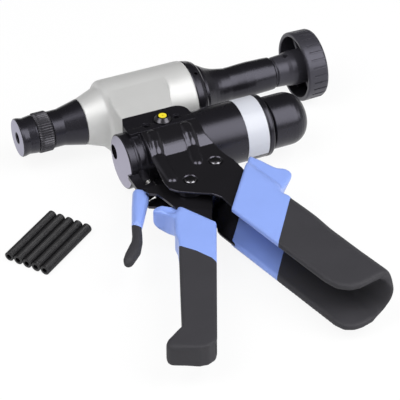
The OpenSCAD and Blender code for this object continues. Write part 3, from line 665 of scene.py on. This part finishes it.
def calc(tree, operation, *values, clamp=False):
    """A Math node over numbers or sockets."""
    node = place(tree, "ShaderNodeMath", operation=operation, use_clamp=clamp)
    for value, socket in zip(values, node.inputs):
        feed(tree, value, socket)
    return node.outputs[0]


def blend(tree, kind, share, low, high):
    """A Mix node of kind FLOAT or RGBA, whose share socket leads from low to high."""
    node = place(tree, "ShaderNodeMix", data_type=kind)
    first, out = {"FLOAT": (2, 0), "RGBA": (6, 2)}[kind]
    join(tree, share, node.inputs[0])
    feed(tree, low, node.inputs[first])
    feed(tree, high, node.inputs[first + 1])
    return node.outputs[out]


print("group helpers ready")

# %% [markdown]
# ## Effects that several finishes share
# **Fine grain** is the orange peel of paint, the tooth of a moulding or the pits of a casting: one noise,
# read at a size in millimetres. **Edge wear** finds corners: the Bevel node rounds the normal near an edge,
# so where the rounded normal and the true one part company, there is an edge, and a noise breaks the wear
# up. **Handling marks** are the faint, larger clouds of oil and dust that stop a surface from shining
# evenly.

# %% Group: fine grain
def build_fine_grain():
    group, start, end = new_group("fine_grain", [("Size mm", FLOAT, 0.5)], [("Height", FLOAT)])
    where = place(group, "ShaderNodeTexCoord")
    cloud = place(group, "ShaderNodeTexNoise")
    cloud.inputs["Detail"].default_value = 2.0
    join(group, where.outputs["Object"], cloud.inputs["Vector"])
    join(group, calc(group, "DIVIDE", 1000.0, start.outputs["Size mm"]), cloud.inputs["Scale"])
    join(group, cloud.outputs[0], end.inputs["Height"])
    return group


fine_grain = build_fine_grain()
print("group", fine_grain.name)

# %% Group: edge wear
EDGE_GAIN = 9.0  # how soon a turn of the rounded normal counts as an edge
PATCH_LOW, PATCH_HIGH = 0.42, 0.66  # the noise below which an edge stays whole, and above which it is worn


def build_edge_wear():
    group, start, end = new_group(
        "edge_wear",
        [("Width", FLOAT, 0.0006), ("Amount", FLOAT, 0.5), ("Break up mm", FLOAT, 3.0)],
        [("Mask", FLOAT), ("Normal", VECTOR)],
    )
    rounded = place(group, "ShaderNodeBevel", samples=6)
    join(group, start.outputs["Width"], rounded.inputs["Radius"])
    true = place(group, "ShaderNodeNewGeometry")
    apart = place(group, "ShaderNodeVectorMath", operation="DOT_PRODUCT")
    join(group, rounded.outputs[0], apart.inputs[0])
    join(group, true.outputs["Normal"], apart.inputs[1])
    corner = calc(group, "SUBTRACT", 1.0, apart.outputs["Value"], clamp=True)
    corner = calc(group, "MULTIPLY", corner, EDGE_GAIN, clamp=True)
    where = place(group, "ShaderNodeTexCoord")
    cloud = place(group, "ShaderNodeTexNoise")
    cloud.inputs["Detail"].default_value = 4.0
    join(group, where.outputs["Object"], cloud.inputs["Vector"])
    join(group, calc(group, "DIVIDE", 1000.0, start.outputs["Break up mm"]), cloud.inputs["Scale"])
    patch = place(group, "ShaderNodeMapRange")
    patch.inputs["From Min"].default_value = PATCH_LOW
    patch.inputs["From Max"].default_value = PATCH_HIGH
    join(group, cloud.outputs[0], patch.inputs["Value"])
    mask = calc(group, "MULTIPLY", corner, patch.outputs[0], clamp=True)
    mask = calc(group, "MULTIPLY", mask, start.outputs["Amount"], clamp=True)
    join(group, mask, end.inputs["Mask"])
    join(group, rounded.outputs[0], end.inputs["Normal"])
    return group


edge_wear = build_edge_wear()
print("group", edge_wear.name)

# %% Group: handling marks
def build_handling_marks():
    group, start, end = new_group(
        "handling_marks",
        [("Size mm", FLOAT, 18.0), ("Base", FLOAT, 0.4), ("Spread", FLOAT, 0.1)],
        [("Roughness", FLOAT), ("Cloud", FLOAT)],
    )
    where = place(group, "ShaderNodeTexCoord")
    cloud = place(group, "ShaderNodeTexNoise")
    cloud.inputs["Detail"].default_value = 5.0
    cloud.inputs["Roughness"].default_value = 0.62
    join(group, where.outputs["Object"], cloud.inputs["Vector"])
    join(group, calc(group, "DIVIDE", 1000.0, start.outputs["Size mm"]), cloud.inputs["Scale"])
    centred = calc(group, "SUBTRACT", cloud.outputs[0], 0.5)
    swing = calc(group, "MULTIPLY", centred, start.outputs["Spread"])
    swing = calc(group, "MULTIPLY", swing, 2.0)
    join(group, calc(group, "ADD", start.outputs["Base"], swing, clamp=True), end.inputs["Roughness"])
    join(group, cloud.outputs[0], end.inputs["Cloud"])
    return group


handling_marks = build_handling_marks()
print("group", handling_marks.name)

# %% Group: turned face
def build_turned_face():
    """Where a turned part is left bare: everything in front of End mm, with the rings a lathe tool leaves."""
    group, start, end = new_group(
        "turned_face",
        [("End mm", FLOAT, 0.0), ("Axis Y mm", FLOAT, 0.0), ("Reach mm", FLOAT, 50.0),
         ("Feed mm", FLOAT, 0.25)],
        [("Mask", FLOAT), ("Height", FLOAT)],
    )
    where = place(group, "ShaderNodeTexCoord")
    parts = place(group, "ShaderNodeSeparateXYZ")
    join(group, where.outputs["Object"], parts.inputs[0])
    x_mm = calc(group, "MULTIPLY", parts.outputs[0], 1000.0)
    y_mm = calc(group, "MULTIPLY", parts.outputs[1], 1000.0)
    y_mm = calc(group, "SUBTRACT", y_mm, start.outputs["Axis Y mm"])
    z_mm = calc(group, "MULTIPLY", parts.outputs[2], 1000.0)
    square = calc(group, "ADD", calc(group, "MULTIPLY", y_mm, y_mm), calc(group, "MULTIPLY", z_mm, z_mm))
    radius = calc(group, "SQRT", square)
    ring = calc(group, "DIVIDE", radius, start.outputs["Feed mm"])
    line = place(group, "ShaderNodeTexNoise", noise_dimensions="1D")
    join(group, ring, line.inputs["W"])
    line.inputs["Scale"].default_value = 1.0
    line.inputs["Detail"].default_value = 3.0
    in_front = calc(group, "LESS_THAN", x_mm, start.outputs["End mm"])
    near_axis = calc(group, "LESS_THAN", radius, start.outputs["Reach mm"])
    join(group, calc(group, "MULTIPLY", in_front, near_axis), end.inputs["Mask"])
    join(group, line.outputs[0], end.inputs["Height"])
    return group


turned_face = build_turned_face()
print("group", turned_face.name)

# %% [markdown]
# ## One recipe, many finishes
# Paint, coating, moulding and bare metal differ in colour, metal or not, shine, grain and wear. So one
# function builds a tree from those: the colour drifts a little with the handling marks, the worn edges show
# what lies under the coat, and the grain goes into a Bump node that starts from the rounded normal, so
# every edge catches light.

# %% Helper: place a group
def add_group(tree, group, **values):
    """Places a group in a material and sets its inputs; underscores in names stand for spaces."""
    node = place(tree, "ShaderNodeGroup")
    node.node_tree = group
    for key, value in values.items():
        node.inputs[key.replace("_", " ")].default_value = value
    return node


print("group placer ready")

# %% Recipe for a coated surface
BARE_METAL, BREAK_UP_MM = 0.9, 3.6


def surface(name, colour, rough, metal=0.0, spread=0.06, marks_mm=18.0, grain_mm=0.5, grain_depth=0.02,
            drift=0.10, under=None, wear=0.4, spec=0.5, round_mm=0.35, faced=None, sheen=(1.0, 1.0, 1.0)):
    """A finish with drifting colour, broken edge wear, uneven shine and fine grain.

    under is the colour below the coat. faced says where a lathe left bare metal: the end's x, the axis's y
    and the reach in mm, then the metal's colour and roughness.
    """
    mat = bpy.data.materials.new(name)
    mat.use_nodes = True
    tree = mat.node_tree
    shader = tree.nodes["Principled BSDF"]
    shader.inputs["Metallic"].default_value = metal
    shader.inputs["Specular IOR Level"].default_value = spec
    shader.inputs["Specular Tint"].default_value = (*sheen, 1)
    marks = add_group(tree, handling_marks, Size_mm=marks_mm, Base=rough, Spread=spread)
    grain = add_group(tree, fine_grain, Size_mm=grain_mm)
    worn = add_group(tree, edge_wear, Width=round_mm * MM, Amount=wear, Break_up_mm=BREAK_UP_MM)
    dark = [c * (1 - drift) for c in colour]
    light = [min(1.0, c * (1 + drift)) for c in colour]
    tint = blend(tree, "RGBA", marks.outputs["Cloud"], (*dark, 1), (*light, 1))
    if under is not None:
        tint = blend(tree, "RGBA", worn.outputs["Mask"], tint, (*under, 1))
    shine, height = marks.outputs["Roughness"], grain.outputs["Height"]
    if faced is not None:
        end_mm, axis_y, reach_mm, bare, bare_rough = faced
        face = add_group(tree, turned_face, End_mm=end_mm, Axis_Y_mm=axis_y, Reach_mm=reach_mm)
        mask = face.outputs["Mask"]
        tint = blend(tree, "RGBA", mask, tint, (*bare, 1))
        shine = blend(tree, "FLOAT", mask, shine, bare_rough)
        height = blend(tree, "FLOAT", mask, height, face.outputs["Height"])
        join(tree, calc(tree, "MULTIPLY", mask, BARE_METAL), shader.inputs["Metallic"])
    join(tree, tint, shader.inputs["Base Color"])
    join(tree, shine, shader.inputs["Roughness"])
    bump = place(tree, "ShaderNodeBump")
    bump.inputs["Distance"].default_value = grain_depth * MM
    bump.inputs["Strength"].default_value = 1.0
    join(tree, height, bump.inputs["Height"])
    join(tree, worn.outputs["Normal"], bump.inputs["Normal"])
    join(tree, bump.outputs[0], shader.inputs["Normal"])
    return mat


print("recipe ready")

# %% [markdown]
# ## The tool's finishes
# The head is blasted and clear-coated light alloy. The rest of the metal is coated satin black, which looks
# faintly violet in a bright sheen. The handles' covers are periwinkle blue, dipped like the grips, whose
# grey is matt.

# %% Metals and coatings
VIOLET = (0.85, 0.83, 1.0)
head_silver = surface("head_silver", (0.60, 0.60, 0.594), 0.46, metal=0.3, spread=0.05, drift=0.04,
                      grain_mm=0.25, grain_depth=0.012, under=(0.75, 0.75, 0.75), wear=0.3, spec=0.35,
                      round_mm=0.6)
black_coat = surface("black_coat", (0.0085, 0.008, 0.010), 0.27, spread=0.02, grain_mm=0.3,
                     grain_depth=0.004, under=(0.05, 0.048, 0.055), wear=0.15, sheen=VIOLET)
pump_coat = surface("pump_coat", (0.0085, 0.008, 0.010), 0.25, spread=0.02, grain_mm=0.3,
                    grain_depth=0.004, under=(0.05, 0.048, 0.055), wear=0.15, sheen=VIOLET,
                    faced=(48.12, -48.2, 16.0, (0.42, 0.41, 0.45), 0.36))
anvil_coat = surface("anvil_coat", (0.010, 0.0095, 0.012), 0.25, spread=0.05, grain_mm=0.3,
                     grain_depth=0.004, under=(0.1, 0.1, 0.11), wear=0.5, sheen=VIOLET,
                     faced=(0.06, 0.0, 50.0, (0.38, 0.38, 0.41), 0.34))
frame_coat = surface("frame_coat", (0.0095, 0.009, 0.0105), 0.17, spread=0.04, grain_mm=0.8,
                     grain_depth=0.006, under=(0.07, 0.068, 0.072), wear=0.6, spec=0.7, sheen=VIOLET)
# The handwheel's base colour is partly its own dark plastic and partly painted sheen: it is lifted and tinted
# violet to stand in for the bright violet sheen on its rim.
wheel_black = surface("wheel_black", (0.034, 0.033, 0.040), 0.36, grain_mm=0.3, grain_depth=0.008,
                      under=(0.05, 0.05, 0.052), wear=0.35, sheen=VIOLET)
pin_steel = surface("pin_steel", (0.20, 0.195, 0.21), 0.20, metal=1.0, spread=0.1, drift=0.15,
                    grain_mm=0.2, grain_depth=0.004, under=(0.4, 0.4, 0.4), wear=0.5)
bright_steel = surface("bright_steel", (0.62, 0.61, 0.60), 0.24, metal=1.0, spread=0.1, grain_mm=0.2,
                       grain_depth=0.003)
oxide_steel = surface("oxide_steel", (0.016, 0.0155, 0.017), 0.40, metal=0.3, spread=0.12,
                      grain_mm=0.3, grain_depth=0.006, under=(0.09, 0.09, 0.09), wear=0.4)
ring_steel = surface("ring_steel", (0.050, 0.048, 0.056), 0.28, metal=0.6, spread=0.08, grain_mm=0.2,
                     grain_depth=0.004, under=(0.16, 0.16, 0.17), wear=0.6, round_mm=0.15)
plug_steel = surface("plug_steel", (0.07, 0.068, 0.075), 0.26, metal=1.0, spread=0.1, grain_mm=0.2,
                     grain_depth=0.004, under=(0.3, 0.3, 0.3), wear=0.5)
seal_rubber = surface("seal_rubber", (0.015, 0.015, 0.015), 0.6, grain_depth=0.004, wear=0.0)
print("metals ready")

# %% Plastics
cover_blue = surface("cover_blue", (0.245, 0.352, 0.765), 0.34, spread=0.04, grain_mm=0.9, grain_depth=0.010,
                     drift=0.05, under=(0.32, 0.43, 0.82), wear=0.3, spec=0.45)
grip_grey = surface("grip_grey", (0.034, 0.033, 0.038), 0.66, spread=0.06, grain_mm=0.45, grain_depth=0.04,
                    drift=0.12, under=(0.06, 0.06, 0.065), wear=0.3, spec=0.3)
label_white = surface("label_white", (0.54, 0.555, 0.61), 0.32, spread=0.04, grain_mm=0.6, grain_depth=0.002,
                      drift=0.02, wear=0.0)
insert_yellow = surface("insert_yellow", (0.80, 0.66, 0.03), 0.4, grain_depth=0.01, drift=0.12, wear=0.0)
print("plastics ready")

# %% Dress the solids
def dress(mat, *names):
    """Gives a finish to carried-over solids."""
    for n in names:
        mesh = solids[n].data
        mesh.materials.clear()
        mesh.materials.append(mat)
        for slot in solids[n].material_slots:
            slot.material = mat


dress(head_silver, "head_housing")
dress(black_coat, "nosepiece", "end_cap", "rear_sleeve", "reservoir_tube", "end_boot", "trigger",
      "gallery_plugs", "release_pin", "trigger_pin")
dress(pump_coat, "pump_body")
dress(anvil_coat, "anvil")
dress(frame_coat, "rear_frame", "front_frame")
dress(wheel_black, "handwheel")
dress(pin_steel, "pivot_pin", "frame_pin")
dress(plug_steel, "bleed_plug")
dress(bright_steel, "piston", "release_ball", "relief_ball", "check_balls",
      "cam_roller", "roller_pin", "float_piston", "drive_shaft", "thrust_bearing", "return_spring",
      "relief_spring", "check_springs", "release_spring")
dress(oxide_steel, "plunger", "mandrel_adapter", "wheel_screw", "relief_screw", "mandrels", "lock_ring",
      "plunger_spring")
dress(seal_rubber, "cylinder_seals", "piston_seal", "port_seals", "plunger_seal", "float_seal")
dress(cover_blue, "rear_cover", "front_cover", "trigger_cover")
dress(grip_grey, "rear_grip", "front_grip", "trigger_tip")
dress(label_white, "label")
dress(insert_yellow, "plug_insert")
bare = [n for n, o in solids.items() if not o.data.materials or not o.data.materials[0].use_nodes]
print("dressed", len(solids), "solids, left bare:", bare)

# %% [markdown]
# ## The finer pieces take their solids' places
# Each skin stands for the solid that it was made from. It rides on the same body, so it moves as the solid
# would, and the solid itself is no longer shown.

# %% Set the finer pieces in place
def show_piece(name, mesh, body, mat, slot, *nodes):
    """Puts a mesh in the scene, lets it ride on a body and stand for its solids."""
    piece = bpy.data.objects.new(name, mesh)
    scene.collection.objects.link(piece)
    mesh.materials.clear()
    mesh.materials.append(mat)
    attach(piece, body)
    if nodes:
        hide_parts(*nodes)


show_piece("ribbed_ring", ring_mesh, "tool", ring_steel, "knurled_black", "lock_ring")
show_piece("threaded_mandrels", rods_mesh, "mandrel_set", oxide_steel, "dark_steel", "mandrels")
show_piece("pressed_frame", frame_skin, "tool", frame_coat, "frame_black", "rear_frame")
show_piece("cast_head", head_skin, "tool", head_silver, "silver_paint", "head_housing")
for node, mesh in skins.items():
    body = "tool" if node.startswith("rear") else "front_lever" if node.startswith("front") else "trigger"
    blue = node.endswith("cover")
    show_piece(node + "_skin", mesh, body, cover_blue if blue else grip_grey,
               "blue_plastic" if blue else "grip_grey", node)
print("placed", 4 + len(skins), "pieces")

# %% [markdown]
# ## Floor, background and light
# The photo is a product shot on white: the background is pure white and the shadow almost gone. The floor
# is a pale sheet. For the camera it is mixed with a white glow, which washes most of the shadow out but
# keeps a trace of it. The sky is an even pale grey with one dark flag on the far side. Flat black tops
# mirror just that part of it, so they go deep black as in the photo, while every rounded shoulder turns
# towards the lit part and shows a soft sheen.

# %% Floor
FLOOR_Z, REACH = cad_box[0][2], 3.0
PAPER, GLOW_SHARE = 0.90, 0.90
sheet = bpy.data.meshes.new("floor_sheet")
corners = ((-1, -1), (1, -1), (1, 1), (-1, 1))
sheet.from_pydata([(x * REACH, y * REACH, FLOOR_Z) for x, y in corners], [], [(0, 1, 2, 3)])
floor = bpy.data.objects.new("floor_sheet", sheet)
scene.collection.objects.link(floor)

paper = bpy.data.materials.new("white_paper")
paper.use_nodes = True
tree = paper.node_tree
tree.nodes.remove(tree.nodes["Principled BSDF"])
matt = place(tree, "ShaderNodeBsdfDiffuse")
matt.inputs["Color"].default_value = (PAPER, PAPER, PAPER, 1)
glow = place(tree, "ShaderNodeEmission")
glow.inputs["Color"].default_value = (1, 1, 1, 1)
ray = place(tree, "ShaderNodeLightPath")
share = calc(tree, "MAXIMUM", ray.outputs["Is Camera Ray"], ray.outputs["Is Glossy Ray"])
share = calc(tree, "MULTIPLY", share, GLOW_SHARE)
blend_paper = place(tree, "ShaderNodeMixShader")
join(tree, share, blend_paper.inputs[0])
join(tree, matt.outputs[0], blend_paper.inputs[1])
join(tree, glow.outputs[0], blend_paper.inputs[2])
join(tree, blend_paper.outputs[0], tree.nodes["Material Output"].inputs["Surface"])
sheet.materials.append(paper)
print("floor at", round(FLOOR_Z, 4))

# %% Sky with a dark flag
SKY_LEVEL, FLAG_LEVEL = 0.36, 0.12
FLAG_HEIGHT, FLAG_EDGE, FLAG_CORE = math.radians(40), 0.55, 0.85
world = bpy.data.worlds.new("studio")
scene.world = world
world.use_nodes = True
tree = world.node_tree
sky = tree.nodes["Background"]
sky.inputs["Color"].default_value = (1, 1, 1, 1)
ray = place(tree, "ShaderNodeLightPath")
toward = place(tree, "ShaderNodeTexCoord")
lean = place(tree, "ShaderNodeVectorMath", operation="DOT_PRODUCT")
lean.inputs[1].default_value = level * math.cos(FLAG_HEIGHT) + Vector((0, 0, 1)) * math.sin(FLAG_HEIGHT)
join(tree, toward.outputs["Generated"], lean.inputs[0])
flag = place(tree, "ShaderNodeMapRange", interpolation_type="SMOOTHSTEP")
for title, value in (("From Min", FLAG_EDGE), ("From Max", FLAG_CORE), ("To Min", SKY_LEVEL),
                     ("To Max", SKY_LEVEL * FLAG_LEVEL)):
    flag.inputs[title].default_value = value
join(tree, lean.outputs["Value"], flag.inputs["Value"])
white = blend(tree, "FLOAT", ray.outputs["Is Camera Ray"], flag.outputs[0], 1.0)
join(tree, white, sky.inputs["Strength"])
print("sky at", SKY_LEVEL)

# %% [markdown]
# ## Two soft lamps
# A studio lights such a tool with soft boxes. Two lamps, much larger than the tool, stand above it, one
# left of the camera and one right of it. The right one is stronger, so that one side of every round part is
# a little brighter, and both are weak enough for pale surfaces to keep their colour.

# %% Lamps
def soft_lamp(name, position, target, size, power):
    """A rectangular area lamp that looks at a point."""
    lamp = bpy.data.lights.new(name, "AREA")
    lamp.shape = "RECTANGLE"
    lamp.size, lamp.size_y = size
    lamp.energy = power
    lamp_object = bpy.data.objects.new(name, lamp)
    scene.collection.objects.link(lamp_object)
    lamp_object.location = position
    direction = Vector(target) - Vector(position)
    lamp_object.rotation_euler = direction.to_track_quat("-Z", "Y").to_euler()


middle = (0.08, -0.08, 0.0)
soft_lamp("left_box", (-0.558, -0.19, 0.88), middle, (0.7, 0.9), 7.5)
soft_lamp("right_box", (0.63, -0.63, 0.77), middle, (0.85, 1.2), 12.5)
print("two lamps")
